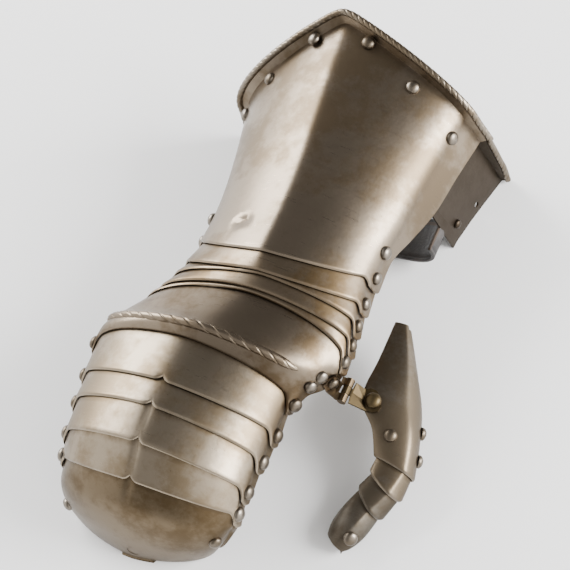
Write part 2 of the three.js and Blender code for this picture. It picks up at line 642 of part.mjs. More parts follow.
// ---------------------------------------------------------------- thumb hinge
// Two leaves on one pin: the steel leaf is riveted to the hand, the brass one to the thumb.
const barrel = new THREE.Vector3(58, -58, 36);
const knuckleRadius = 2.4;
const pinRadius = 1.0;
const pinAir = 0.35;
const barrelLength = 14;
const leafThick = 1.3;
const alongY = (radius, inner, from, to) => {
  const shape = new THREE.Shape().absarc(0, 0, radius, 0, 2 * Math.PI);
  if (inner) shape.holes.push(new THREE.Path().absarc(0, 0, inner, 0, 2 * Math.PI));
  return toManifold(new THREE.ExtrudeGeometry(shape, {
    depth: to - from, bevelEnabled: false, curveSegments: 8,
  }).rotateX(Math.PI / 2).translate(barrel.x, to, barrel.z));
};
const third = barrelLength / 3;
const [barrelStart, barrelEnd] = [barrel.y - barrelLength / 2, barrel.y + barrelLength / 2];

// A plate's outside at a fractional column and row of its grid.
function onPlate(plate, column, row) {
  const [j, i] = [Math.min(Math.floor(column), plate.grid.length - 2),
    Math.min(Math.floor(row), plate.grid[0].length - 2)];
  const blend = (field) => field[j][i].clone().lerp(field[j + 1][i], column - j)
    .lerp(field[j][i + 1].clone().lerp(field[j + 1][i + 1], column - j), row - i);
  return { point: blend(plate.grid), normal: blend(plate.normals).normalize() };
}

// A leaf that lies on a plate: rows of [column, row] places on it, lifted by its own thickness.
const leafPoint = (plate, column, row) => {
  const { point, normal } = onPlate(plate, column, row);
  return point.addScaledVector(normal, seat + 0.2 + leafThick);
};
const leafSheet = (grid) => {
  const normals = gridNormals(grid, (point) => new THREE.Vector3(point.x - 2, point.y, 0));
  return toManifold(sheetGeometry(grid, normals, leafThick));
};

const handLeafEnds = [2.4, 3, 3.7];    // rows of the metacarpal plate
const handLeafGrid = handLeafEnds.map((row, k) => [
  leafPoint(metacarpal, 18.1, row), leafPoint(metacarpal, 18.7, row),
  leafPoint(metacarpal, 19.3, row), leafPoint(metacarpal, 19.9, row),
  new THREE.Vector3(barrel.x - 3.1, barrelEnd - 0.2 - (k * (barrelLength - 0.4)) / 2, barrel.z + 1.6),
]);
const knuckleNeck = (from, to) => leafSheet([from, to].map((y) => [
  new THREE.Vector3(barrel.x - 3.9, y, barrel.z + 1.9),
  new THREE.Vector3(barrel.x - 0.8, y, barrel.z + 1.0),
]));
const knuckleSpans = [[barrelEnd - third, barrelEnd], [barrelStart, barrelStart + third]];
let handLeaf = leafSheet(handLeafGrid).add(alongY(pinRadius, 0, barrelStart, barrelEnd));
for (const [from, to] of knuckleSpans) {
  handLeaf = handLeaf.add(alongY(knuckleRadius, 0, from, to))
    .add(knuckleNeck(from + 0.2, to - 0.2));
}
const handLeafMesh = addMesh('hinge_leaf_hand', toGeometry(handLeaf), 'steel');

const ringStart = barrelStart + third + 0.25;
const ringEnd = barrelEnd - third - 0.25;
// side: across the leaf, from its middle; the far end is rounded.
const thumbLeafGrid = [-1, 0, 1].map((side) => [
  new THREE.Vector3(barrel.x + 1.7, barrel.y - side * (ringEnd - ringStart) * 0.48, barrel.z + 0.9),
  new THREE.Vector3(barrel.x + 3.2, barrel.y - side * (ringEnd - ringStart) * 0.48, barrel.z + 0.6),
  new THREE.Vector3(barrel.x + 3.9, barrel.y - side * 6.2, barrel.z + 0.3),
  leafPoint(thumbPlate, 0.3, 4.25 + side * 0.62),
  leafPoint(thumbPlate, 1, 4.25 + side * 0.68),
  leafPoint(thumbPlate, 1.6, 4.25 + side * 0.6),
  leafPoint(thumbPlate, 2.05, 4.25 + side * 0.3),
]);
const thumbLeaf = leafSheet(thumbLeafGrid)
  .add(alongY(knuckleRadius, pinRadius + pinAir, ringStart, ringEnd));
const thumbLeafMesh = addMesh('hinge_leaf_thumb', toGeometry(thumbLeaf), 'brass');

// ---------------------------------------------------------------- loose rivets
// column, row: place on the plate's grid; over: how far the head stands off it, on a leaf.
const plateRivets = [
  { name: 'hinge_rivet_hand', plate: metacarpal, on: handLeafMesh, column: 18.9, row: 3.05,
    over: leafThick + 0.5, kind: 'steel', scale: 0.85 },
  { name: 'hinge_rivet_thumb', plate: thumbPlate, on: thumbLeafMesh, column: 1.35, row: 4.25,
    over: leafThick + 0.5, kind: 'brass', scale: 1.25 },
  { name: 'hand_rivet_1', plate: metacarpal, column: 17.1, row: 3.45 },
  { name: 'hand_rivet_2', plate: metacarpal, column: 17.3, row: 4.4 },
  { name: 'end_rivet_little', plate: endPlate, column: 4.6, row: 4.6 },
  { name: 'end_rivet_middle', plate: endPlate, column: 11.2, row: 5.2 },
  { name: 'end_rivet_thumb', plate: endPlate, column: 16, row: 3.75 },
  { name: 'thumb_rivet_inner', plate: thumbPlate, column: 2.5, row: 6.2 },
  { name: 'thumb_rivet_outer_1', plate: thumbPlate, column: 8.7, row: 5.3 },
  { name: 'thumb_rivet_outer_2', plate: thumbPlate, column: 8.7, row: 6.8 },
  { name: 'thumb_rivet_tip', plate: thumbEnd, column: 6.4, row: 3.55, scale: 1.1 },
];
for (const { name, plate, on, column, row, over = 0, kind = 'steel', scale = 1 } of plateRivets) {
  const { point, normal } = onPlate(plate, column, row);
  point.addScaledVector(normal, over);
  addRivet(name, on || plate.mesh, point, normal, kind, scale);
}

// ---------------------------------------------------------------- placing
const box = new THREE.Box3().setFromObject(group);
const middle = box.getCenter(new THREE.Vector3());
group.position.set(-middle.x, -middle.y, -box.min.z);

export default group;
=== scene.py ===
import json
import math

import bpy
import numpy as np
from mathutils import Matrix, Vector


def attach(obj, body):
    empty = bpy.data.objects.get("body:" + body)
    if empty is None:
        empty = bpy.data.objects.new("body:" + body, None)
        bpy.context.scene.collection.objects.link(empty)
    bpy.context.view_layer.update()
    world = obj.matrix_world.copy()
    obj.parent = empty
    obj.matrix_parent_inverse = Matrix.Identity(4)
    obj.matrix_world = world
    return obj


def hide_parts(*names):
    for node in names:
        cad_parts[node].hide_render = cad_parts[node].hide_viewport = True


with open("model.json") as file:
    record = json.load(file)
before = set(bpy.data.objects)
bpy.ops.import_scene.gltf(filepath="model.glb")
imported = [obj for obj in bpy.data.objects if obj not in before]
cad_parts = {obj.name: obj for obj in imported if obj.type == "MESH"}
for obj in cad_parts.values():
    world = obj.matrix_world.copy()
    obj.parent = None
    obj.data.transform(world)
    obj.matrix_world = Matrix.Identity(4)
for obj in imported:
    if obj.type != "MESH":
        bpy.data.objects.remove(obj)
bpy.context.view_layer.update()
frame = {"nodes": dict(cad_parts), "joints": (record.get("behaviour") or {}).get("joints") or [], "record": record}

# ---- Cuff plate
# One sheet of steel, keeled along the back and flared to a pointed mouth. The mouth is turned out
# as a flange and rolled over into a roped bead; a dent lies beside the keel, over the wrist.
MM = 0.001
steel_thick = 1.2
layer = steel_thick + 0.75
side_flare = 0.2
tab_reach = 6.5
plate_bevel = 0.12
crease_angle = 50
cuff_steps, path_steps = 16, 12
twist_start = -50
roll_per_mm = math.radians(0.077)
yaw_per_mm = math.radians(0.023)
# x, y, z: middle of the section at the pivots; width: half width; reach: how far the ridge lies
# back; height: ridge over the pivots; keel and point: sharpness in section and in plan; drop:
# depth of the side below the pivots. All in millimetres.
ARM = "x y z width reach height keel point drop".split()
cuff_rows = [
    (-2.0, 105, 46.0, 69.5, 32, 46.0, 0.38, 1.0, 18),
    (-1.5, 82, 46.0, 64.0, 22, 43.5, 0.38, 0.8, 18),
    (-0.5, 58, 46.5, 59.0, 14, 40.0, 0.38, 0.5, 18),
    (0.5, 36, 47.0, 55.5, 7, 36.5, 0.36, 0.3, 12),
    (0.5, 18, 47.5, 53.0, -4, 34.5, 0.34, 0.2, 7),
    (0.5, 2, 48.0, 52.5, -17, 35.0, 0.3, 0.1, 8),
]
# The tables' origin in the row frame comes from the thumb hinge, whose place they also give.
barrel = np.array([58.0, -58.0, 36.0])
hinge = next(joint for joint in frame["joints"] if joint["name"] == "thumb_hinge")
origin = np.array(hinge["pos_m"]) / MM - barrel
body_of_node = {name: body for body, names in frame["record"]["behaviour"]["bodies"].items()
                for name in names}


class Wire:
    """A socket of a material's nodes. Arithmetic on it adds Math nodes."""

    def __init__(self, tree, socket=None):
        self.tree = tree
        self.socket = socket

    def node(self, kind, settings=None, sockets=None, out=0):
        made = self.tree.nodes.new(kind)
        for name, value in (settings or {}).items():
            setattr(made, name, value)
        for name, value in (sockets or {}).items():
            if isinstance(value, Wire):
                self.tree.links.new(value.socket, made.inputs[name])
            else:
                made.inputs[name].default_value = value
        return Wire(self.tree, made.outputs[out] if len(made.outputs) else None)

    def math(self, operation, *values):
        return self.node("ShaderNodeMath", {"operation": operation}, dict(enumerate(values)))

    def __add__(self, other):
        return self.math("ADD", self, other)

    def __sub__(self, other):
        return self.math("SUBTRACT", self, other)

    def __rsub__(self, other):
        return self.math("SUBTRACT", other, self)

    def __mul__(self, other):
        return self.math("MULTIPLY", self, other)

    __radd__ = __add__
    __rmul__ = __mul__

    def step(self, low, high):
        """0 below low, 1 above high, smooth between."""
        return self.node("ShaderNodeMapRange", {"interpolation_type": "SMOOTHSTEP"},
                         {0: self, 1: low, 2: high, 3: 0.0, 4: 1.0})

    def cloud(self, scale, detail=4.0, rough=0.5):
        return self.node("ShaderNodeTexNoise", {}, {"Vector": self, "Scale": scale, "Detail": detail,
                                                    "Roughness": rough})

    def between(self, low, high):
        """The colour low where this is 0, high where it is 1."""
        return self.node("ShaderNodeMix", {"data_type": "RGBA"}, {0: self, 6: low, 7: high}, out=2)


def new_material(name):
    material = bpy.data.materials.new(name)
    material.use_nodes = True
    material.node_tree.nodes.clear()
    wire = Wire(material.node_tree)
    return material, wire, wire.node("ShaderNodeTexCoord", out=3)


def finish(wire, sockets, height=None, depth=0.0):
    if height is not None:
        sockets["Normal"] = wire.node("ShaderNodeBump", {}, {"Distance": depth, "Height": height})
    wire.node("ShaderNodeOutputMaterial", {},
              {"Surface": wire.node("ShaderNodeBsdfPrincipled", {}, sockets)})


# how many cycles to a metre the stains, blotches and grain of the steel have, and its bump in metres
cloud_scale, blotch_scale, grain_scale, pit_scale = 17.0, 75.0, 1100.0, 300.0
steel_bump = 0.00018
scratch_turns = (0.4, 1.7, 2.6)
scratch_stretch = (14, 900, 140)
# Painted shade mixed with dirt: the dark brown blotched into a plate just below the edge of the plate over it.
shade_dirt = (0.07, 0.055, 0.04, 1)
pit_dirt = (0.08, 0.06, 0.04, 1)


def worn_steel(name, bright, stain, stained=0.8, rough=0.24):
    """Old polished steel: browned in clouds, scratched, pitted, bright at its worn edges with a painted highlight
    along them, and darkened with painted shade and dirt below the edge of the plate over it.
    """
    material, wire, place = new_material(name)
    # The first attribute paints a highlight along each lower edge, which is also worn bright; the second paints
    # shade, mixed with dirt, below and under the edge of the plate over this one.
    wear_and_highlight = wire.node("ShaderNodeAttribute", {"attribute_name": "wear_and_highlight"}, out=2)
    shade_and_grime = wire.node("ShaderNodeAttribute", {"attribute_name": "shade_and_grime"}, out=2)
    clouds = place.cloud(cloud_scale, 5.0, 0.62)
    blotch = place.cloud(blotch_scale, 6.0, 0.68)
    grain = place.cloud(grain_scale, 3.0, 0.6)
    scratch = 0.0
    for turn in scratch_turns:
        streak = wire.node("ShaderNodeMapping", {}, {"Vector": place, "Rotation": (0.2, 0.1, turn),
                                                     "Scale": scratch_stretch})
        scratch = streak.cloud(1.0, 2.0, 0.6).step(0.66, 0.73) + scratch
    spots = wire.node("ShaderNodeTexVoronoi", {}, {"Vector": place, "Scale": pit_scale})
    pit = (1.0 - spots.step(0.03, 0.13)) * blotch.step(0.5, 0.58)
    # Below the edge of the plate over it, painted shade: the steel is browned, then blotched dark with the dirt
    # colour.
    brown = (clouds + blotch * 0.6).step(0.7, 0.92) * stained + shade_and_grime * 0.5
    colour = wire.math("MINIMUM", brown, 1.0).between((*bright, 1), (*stain, 1))
    colour = (shade_and_grime * blotch.step(0.3, 0.7) * 0.6).between(colour, shade_dirt)
    colour = (pit * 0.75).between(colour, pit_dirt)
    pale = tuple(min(1.0, part * 1.45) for part in bright)
    # Scratches pale the steel a little; along the lower edge, wear and a painted highlight pale it more.
    colour = (scratch * 0.1 + wear_and_highlight * 0.6).between(colour, (*pale, 1))
    gloss = rough + clouds * 0.12 - scratch * 0.05 + brown * 0.05 + grain * 0.06 - wear_and_highlight * 0.08
    height = grain * 0.09 + blotch * 0.45 - pit * 0.12 + clouds * 2.0
    finish(wire, {"Base Color": colour, "Roughness": gloss, "Metallic": 1.0}, height, steel_bump)
    return material


def add_mesh(name, points, faces, material, body, bevel=0.0, thickness=0.0):
    """A mesh from points in the tables' millimetres, riding on a body."""
    mesh = bpy.data.meshes.new(name)
    mesh.from_pydata([tuple(point) for point in (np.asarray(points) + origin) * MM], [], faces)
    made = bpy.data.objects.new(name, mesh)
    bpy.context.scene.collection.objects.link(made)
    mesh.materials.append(material)
    mesh.shade_smooth()
    if thickness:
        solid = made.modifiers.new("thickness", "SOLIDIFY")
        solid.thickness = thickness * MM
        solid.offset = -1
        solid.use_even_offset = False
    if bevel:
        round_edges(made, bevel, crease_angle)
    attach(made, body)
    return made


def round_edges(made, width, angle):
    edge = made.modifiers.new("edges", "BEVEL")
    edge.width = width * MM
    edge.segments = 3
    edge.limit_method = "ANGLE"
    edge.angle_limit = math.radians(angle)
    edge.harden_normals = True


def frame_at(y):
    """Sideways, forward and up directions of the arm's section at y."""
    turn = max(0.0, y - twist_start)
    turned = (Matrix.Rotation(turn * yaw_per_mm, 3, "Z")
              @ Matrix.Rotation(-turn * roll_per_mm, 3, "Y"))
    return [np.array(turned.col[k]) for k in range(3)]


ridge_round = {"cuff": 0.035, "hand": 0.11}


def arm_point(row, angle, drop):
    lateral, forward, up = frame_at(row["y"])
    sine, cosine = math.sin(math.radians(angle)), math.cos(math.radians(angle))
    blunt = ridge_round["cuff"] if row["y"] > 0 else ridge_round["hand"]
    slope = math.hypot(sine, blunt * cosine)
    straight = 1 - slope
    arch = cosine + (straight - cosine) * row["keel"]
    sweep = cosine + (straight - cosine) * row["point"]
    depth = drop * row["drop"]
    side = math.copysign(1, angle) if angle else 0
    return (np.array([row["x"], row["y"], row["z"]]) + forward * row["reach"] * sweep
            + lateral * (row["width"] * sine + side * depth * side_flare)
            + up * (row["height"] * arch - depth))


def cubic(a, b, c, d, t):
    return 0.5 * (2 * b + (c - a) * t + (2 * a - 5 * b + 4 * c - d) * t ** 2
                  + (3 * b - a - 3 * c + d) * t ** 3)


def smoothed(points, per_span):
    """Points between the given ones, on a smooth curve through them."""
    points = [np.asarray(point, float) for point in points]
    last = len(points) - 1
    out = []
    for k in range(last):
        a, b, c, d = (points[min(max(k + shift, 0), last)] for shift in (-1, 0, 1, 2))
        out += [cubic(a, b, c, d, part / per_span) for part in range(per_span)]
    return out + [points[last]]


def arm_places():
    """(angle, drop) across a plate: from the little-finger side over the ridge to the thumb side."""
    drops = (1.0, 0.8, 0.6, 0.4, 0.2)
    return ([(-90, drop) for drop in drops] + [(angle, 0) for angle in range(-90, 91, 2)]
            + [(90, drop) for drop in reversed(drops)])


class Limb:
    """What a row of plates shares: places across it, the shape of a section, and which way is in."""

    def __init__(self, across, point, inside):
        self.across = across
        self.point = point
        self.inside = inside


arm = Limb(arm_places(), arm_point, lambda p: np.array([p[0] * 0.5 - 6, p[1], 20]))


class Plate:
    """A grid of outside points [column][row] with outward normals."""

    def __init__(self, limb, columns, covered=0):
        self.limb = limb
        self.covered = covered
        self.grid = np.array(columns)
        across = np.gradient(self.grid, axis=0)
        along = np.gradient(self.grid, axis=1)
        normals = np.cross(across, along)
        normals /= np.linalg.norm(normals, axis=2, keepdims=True) + 1e-12
        inside = np.array([[limb.inside(point) for point in column] for column in self.grid])
        outward = np.einsum("jik,jik->ji", normals, self.grid - inside) > 0
        self.normals = np.where(outward[..., None], normals, -normals)

    def back(self, column, distance):
        """The point and normal `distance` up from the lower edge in one column."""
        points, normals = self.grid[column], self.normals[column]
        for row in range(len(points) - 1, 0, -1):
            span = np.linalg.norm(points[row] - points[row - 1])
            if distance <= span or row == 1:
                share = min(distance / span, 1)
                normal = normals[row] * (1 - share) + normals[row - 1] * share
                point = points[row] * (1 - share) + points[row - 1] * share
                return point, normal / np.linalg.norm(normal)
            distance -= span
        return None

    def faces(self):
        columns, rows = self.grid.shape[:2]
        quads = [(j * rows + i, j * rows + i + 1, (j + 1) * rows + i + 1, (j + 1) * rows + i)
                 for j in range(columns - 1) for i in range(rows - 1)]
        a, b, c = (self.grid.reshape(-1, 3)[quads[0][k]] for k in (0, 1, 2))
        facing = np.dot(np.cross(b - a, c - a), self.normals[0][0])
        return quads if facing > 0 else [quad[::-1] for quad in quads]


def tab_weight(angle, drop):
    """How far a lower edge reaches round the pivot rivets, as a rounded tab."""
    flat = max(0.0, 1 - abs(90 - abs(angle)) / 20)
    if drop > 0.5:
        return 1 - 0.6 * (drop - 0.5)
    return flat * flat * (3 - 2 * flat) if drop == 0 else 1.0


# distance back from a plate's lower edge, how far it is hammered down, and share of the thickness
edge_roll = ((1.3, 0.0, 1.0), (0.9, 0.1, 0.92), (0.55, 0.32, 0.72), (0.25, 0.66, 0.45),
             (0.0, 0.98, 0.2))
# how far in from an edge it is worn bright with a painted highlight, and how far a plate is painted with shade and
# dirt below the one over it
wear_and_highlight_width, shade_width = 1.2, 1.6
far_off = 50  # as good as never shaded or dirty


def shown(plate, name, body, material):
    """The plate as a sheet of steel with a rounded lower edge, in place of its node."""
    rolled, wear_and_highlight, shade_and_grime = [], [], []
    rows = len(edge_roll)
    for column, normals in zip(plate.grid, plate.normals):
        to_edge = np.concatenate([np.cumsum(
            np.linalg.norm(np.diff(column[::-1], axis=0), axis=1))[::-1], [0]])
        kept = to_edge > edge_roll[0][0] + 0.2
        points, marks = list(column[kept]), list(to_edge[kept])
        for distance, fall, _ in edge_roll:
            at = [np.interp(-distance, -to_edge, field[:, axis]) for field in (column, normals)
                  for axis in range(3)]
            points.append(np.array(at[:3]) - np.array(at[3:]) * fall)
            marks.append(distance)
        rolled.append(points)
        marks = np.array(marks)
        cover = to_edge[plate.covered] if plate.covered else to_edge[0] + far_off
        # Per point: a painted highlight, on an edge also worn bright, close to the lower edge; and painted shade
        # mixed with dirt, rising to full at the edge of the plate over it and full beneath it.
        wear_and_highlight.append(np.clip(1 - marks / wear_and_highlight_width, 0, 1))
        near_cover = np.clip(1 - (cover - marks) / shade_width, 0, 1) ** 2
        shade_and_grime.append(np.where(marks > cover, 1.0, near_cover))
    shortest = min(len(column) for column in rolled)
    drawn = Plate(plate.limb, [column[-shortest:] for column in rolled])
    made = add_mesh(name + "_steel", drawn.grid.reshape(-1, 3), drawn.faces(), material, body, plate_bevel,
                    steel_thick)
    full = made.vertex_groups.new(name="full")
    starts = np.arange(0, len(drawn.grid) * shortest, shortest)
    full.add(list(range(len(drawn.grid) * shortest)), 1.0, "REPLACE")
    for k, (_, _, share) in enumerate(edge_roll):
        full.add([int(start) + shortest - rows + k for start in starts], share, "REPLACE")
    made.modifiers["thickness"].vertex_group = "full"
    made.modifiers["thickness"].thickness_vertex_group = 0.0
    # Stored as attributes, which the steel reads for its painted highlight and its painted shade.
    for label, values in (("wear_and_highlight", wear_and_highlight), ("shade_and_grime", shade_and_grime)):
        field = made.data.attributes.new(label, "FLOAT", "POINT")
        field.data.foreach_set("value", np.concatenate([marks[-shortest:] for marks in values]))
    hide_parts(name)
    return made


def roped(path, radius, pitch, facing, strands=3, depth=0.22, width=0.14, fade=0.01):
    """Points and faces of a roped edge: a round bar with slanting nicks filed along it.

    strands: how many nicks wind round side by side; fade: how far it thins out at its ends.
    """
    around, stride, blunt_end = 44, 0.5, 0.05
    fine = np.array(smoothed(path, path_steps))
    length = np.concatenate([[0], np.cumsum(np.linalg.norm(np.diff(fine, axis=0), axis=1))])
    at_length = lambda at: np.array([np.interp(at, length, fine[:, axis]) for axis in range(3)])
    count = int(length[-1] / stride)
    points = []
    for k in range(count + 1):
        at = length[-1] * k / count
        along = at_length(at + stride) - at_length(at - stride)
        slim = min(1.0, (min(at, length[-1] - at) + blunt_end) / fade) ** 0.5
        first = np.cross(facing, along)
        first /= np.linalg.norm(first)
        second = np.cross(along, first)
        second /= np.linalg.norm(second)
        for c in range(around):
            angle = 2 * math.pi * c / around
            phase = (at / pitch - strands * angle / (2 * math.pi)) % 1.0
            nick = max(0.0, 1 - abs(phase - 0.5) / width)
            size = radius * slim * (1 - depth * nick)
            out = first * math.cos(angle) + second * math.sin(angle)
            points.append(at_length(at) + size * out)
    faces = [(k * around + c, k * around + (c + 1) % around, (k + 1) * around + (c + 1) % around,
              (k + 1) * around + c) for k in range(count) for c in range(around)]
    faces.append(tuple(range(around))[::-1])
    faces.append(tuple(range(count * around, (count + 1) * around)))
    return points, faces


cuff_steel = worn_steel("cuff_steel", (0.206, 0.167, 0.125), (0.115, 0.083, 0.049))
rope_steel = worn_steel("rope_steel", (0.200, 0.171, 0.136), (0.125, 0.095, 0.062), 0.9)
flange_width = 7.4
rope_radius = 2.0
rope_pitch = 4.2
flange_out, flange_forward = 0.9, 0.42
flange_shares = (1.0, 0.8, 0.6, 0.4, 0.24, 0.12)
crease_rise = 0.12
mouth_forward = frame_at(cuff_rows[0][1])[1]
cuff_dense = [dict(zip(ARM, row)) for row in smoothed(cuff_rows, cuff_steps)]
columns = []
for angle, drop in arm.across:
    column = [arm_point(row, angle, drop) for row in cuff_dense]
    column[-1] = column[-1] - frame_at(2)[1] * tab_reach * tab_weight(angle, drop)
    columns.append(column)
bare_cuff = Plate(arm, columns)
flanged = []
for column, normals in zip(bare_cuff.grid, bare_cuff.normals):
    out = normals[0] * flange_out + mouth_forward * flange_forward
    flange = [column[0] + out * flange_width * share for share in flange_shares]
    crease = column[0] + (normals[0] + mouth_forward) * crease_rise
    flanged.append([*flange, crease, *column[1:]])
cuff_plate = Plate(arm, flanged)

# the dent: a sharp crescent edge above, and a flat facet that runs out below it
dent_place = np.array([-24.5, 7.5, 74.0])
dent_along = np.array([0.90, 0.30, 0.32])
dent_down = np.array([0.30, -0.95, 0.10])
dent_half, dent_run, dent_depth, dent_bow = 7.5, 9.5, 2.2, 2.4
lip_start, lip_width = 0.5, 0.8
away = cuff_plate.grid - dent_place
sideways = away @ dent_along / np.linalg.norm(dent_along)
below = away @ dent_down - dent_bow * (sideways / dent_half) ** 2
near = np.linalg.norm(away, axis=2) < 2 * dent_half
lip = np.clip((below + lip_start) / lip_width, 0, 1)
share = (np.clip(1 - (sideways / dent_half) ** 2, 0, 1) * lip
         * np.clip(1 - below / dent_run, 0, 1) * near)
cuff_plate.grid = cuff_plate.grid - cuff_plate.normals * (dent_depth * share)[..., None]
shown(cuff_plate, "cuff_plate", "cuff", cuff_steel)
rim_path = [column[0] for column in cuff_plate.grid[::2]]
rope_points, rope_faces = roped(rim_path, rope_radius, rope_pitch, mouth_forward)
add_mesh("cuff_rope", rope_points, rope_faces, rope_steel, "cuff")

# ---- Cuff side plates
# Two steel walls behind the cuff's lower edges, riveted there, which the cuff stands on. Their rim
# carries on the flange and the roping, and a strip at the wrist is turned in. One has a lace hole.
# The side plates' steel is painted far darker than the cuff's: painted shade, for walls that sit under the cuff's
# edges and turn away from the light.
shaded_side_steel = worn_steel("shaded_side_steel", (0.045, 0.034, 0.024), (0.036, 0.027, 0.018), 0.9, 0.34)
outer_drop = cuff_rows[0][-1]
side_tuck, wrist_y, side_rake = 6, 61, 0.16
side_flange = (9.0, 5.4)
strip_width, strip_turn, strip_bulge = (4.4, 7.0), (0.42, 0.24), 0.5
side_lean = {1: 0.2, -1: 0.05}
side_bevel, side_rope_share = 0.2, 0.9
foot_gap, inner_step = 0.1, 9
lace_y, lace_depth, lace_radius, drill_length = 88, 52.5, 1.8, 12


def row_at(y):
    """The cuff's section at any y, on straight lines between the rows and past their ends."""
    k = 0
    while k < len(cuff_dense) - 2 and y < cuff_dense[k + 1]["y"]:
        k += 1
    above, under = cuff_dense[k], cuff_dense[k + 1]
    share = (y - above["y"]) / (under["y"] - above["y"])
    return {key: above[key] + (under[key] - above[key]) * share for key in ARM}


def side_wall(side, y, depth):
    """The outside of a side plate and its normal, `depth` below the pivots."""
    deep = min(depth, outer_drop)
    at = lambda place, down: arm_point(row_at(place), side * 90, down / row_at(place)["drop"])
    point = at(y, deep)
    normal = np.cross(at(y - 1, deep) - point, at(y, deep + 1) - point)
    normal *= side * math.copysign(1, normal[0]) / np.linalg.norm(normal)
    point = point - normal * layer
    if depth > outer_drop:
        point = point + np.array([side * side_lean[side], 0, -1]) * (depth - outer_drop)
        normal = np.array([side, normal[1], side_lean[side]])
        normal /= np.linalg.norm(normal)
    return point, normal


def side_plate(side, name):
    deep, long = 18, 26
    cells = []
    for k in range(deep + 1):
        cells.append([])
        for i in range(long + 1):
            near_y = cuff_rows[0][1] - 1 + (wrist_y - cuff_rows[0][1] + 1) * i / long
            seam = side_wall(side, near_y, outer_drop)[0][2]
            share = (k - 1) / (deep - 1)
            depth = outer_drop - side_tuck if k == 0 else outer_drop + seam * share
            y = near_y + side_rake * max(0, depth - outer_drop)
            cells[-1].append(side_wall(side, y, depth))
    for point, _ in cells[-1]:
        point[2] = foot_gap
    wall = Plate(Limb(None, None, lambda p: p - np.array([side * inner_step, 0, 0])),
                 [[point for point, _ in row] for row in cells])
    rim = [row[0] for row in cells[1:]]
    wrist = [row[-1] for row in cells[1:]]
    bend = (-0.1, 0.0, 0.12, 0.3, 0.65, 1.0)
    down = np.linspace(0, 1, deep)
    towards_elbow = Limb(None, None, lambda p: p + mouth_forward * inner_step)
    rim_sheet = Plate(towards_elbow, [
        [p + (n * flange_out + mouth_forward * flange_forward) * part
         * np.interp(share, (0, 1), side_flange) for part in bend]
        for (p, n), share in zip(rim, down)])
    wrist_sheet = Plate(wall.limb, [
        [p + n * strip_bulge * part ** 2
         - (n * np.interp(share, (0, 1), strip_turn) + mouth_forward) * part
         * np.interp(share, (0, 1), strip_width) for part in bend]
        for (p, n), share in zip(wrist, down)])
    made = add_mesh(name + "_steel", wall.grid.reshape(-1, 3), wall.faces(), shaded_side_steel, "cuff",
                    side_bevel, steel_thick)
    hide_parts(name)
    points, faces = [], []
    for sheet in (rim_sheet, wrist_sheet):
        faces += [tuple(corner + len(points) for corner in face) for face in sheet.faces()]
        points += list(sheet.grid.reshape(-1, 3))
    flanges = add_mesh(name + "_flanges", points, faces, shaded_side_steel, "cuff", side_bevel, steel_thick)
    tips = [column[-1] for column in rim_sheet.grid[::3]]
    tips[-1][2] = rope_radius
    cord_points, cord_faces = roped(tips, rope_radius * side_rope_share, rope_pitch, mouth_forward)
    add_mesh(name + "_rope", cord_points, cord_faces, rope_steel, "cuff")
    return made


laced = side_plate(1, "cuff_side_plate_thumb")
side_plate(-1, "cuff_side_plate_little")
hole_at, hole_out = side_wall(1, lace_y, lace_depth)
bpy.ops.mesh.primitive_cylinder_add(vertices=32, radius=lace_radius * MM, depth=drill_length * MM,
                                    location=(hole_at + origin) * MM)
drill = bpy.context.object
drill.rotation_euler = Vector(hole_out).to_track_quat("Z", "Y").to_euler()
hole = laced.modifiers.new("hole", "BOOLEAN")
hole.object = drill
laced.modifiers.move(len(laced.modifiers) - 1, 1)
bpy.context.view_layer.update()
punched = bpy.data.meshes.new_from_object(
    laced.evaluated_get(bpy.context.evaluated_depsgraph_get()))
laced.modifiers.clear()
laced.data = punched
bpy.data.objects.remove(drill)

# ---- Wrist strap
# A band of black leather under the wrist, held by its rivet to the side plate. It hangs in a flat
# U, worn to brown at its back edge, with a line tooled along each edge.
strap_y, strap_width, strap_thick, strap_under, strap_top = 61, 30, 2.2, 4.7, 21
# strap_seat: air at the strips; strap_ahead and strap_drop: where on the side plate its place is
# taken from, ahead of its middle and under the seam; seam_gap: how far under the seam it ends
strap_seat, strap_ahead, strap_drop, seam_gap = 0.3, 5, 10, 4
strap_steps = 10
leather_scale, leather_bump = 1100.0, 0.0001


def strap_leather(name, dark, dusty, rough):
    material, wire, place = new_material(name)
    cells = wire.node("ShaderNodeTexVoronoi", {"feature": "DISTANCE_TO_EDGE"},
                      {"Vector": place, "Scale": leather_scale})
    cloud = place.cloud(90.0)
    dust = cloud.step(0.4, 0.75) * 0.8 + (1.0 - cells.step(0.0, 0.12)) * 0.2
    colour = dust.between(dark, dusty)
    finish(wire, {"Base Color": colour, "Roughness": rough + cloud * 0.25, "Metallic": 0.0},
           cells.step(0.0, 0.3) + cloud * 1.5, leather_bump)
    return material


def strap_side(side):
    beside = strap_y + strap_ahead
    seam = side_wall(side, beside, outer_drop + 1e-6)[0][2]
    foot = side_wall(side, beside, outer_drop + seam - strap_drop)[0][0]
    foot -= side * (2 * steel_thick + layer + strap_seat)
    profile = ((1.4, strap_top - strap_under), (0, 10), (2.5, 5.4), (8.5, 2), (18, 0.3), (28, 0))
    return [(foot - side * inwards, 0, strap_under + min(rise, seam - seam_gap - strap_under))
            for inwards, rise in profile]


black = strap_leather("black_leather", (0.010, 0.008, 0.008, 1), (0.05, 0.042, 0.038, 1), 0.35)
bare = strap_leather("bare_leather", (0.045, 0.028, 0.018, 1), (0.10, 0.065, 0.042, 1), 0.6)
middle_line = smoothed(strap_side(-1) + strap_side(1)[::-1], strap_steps)
half = strap_width / 2
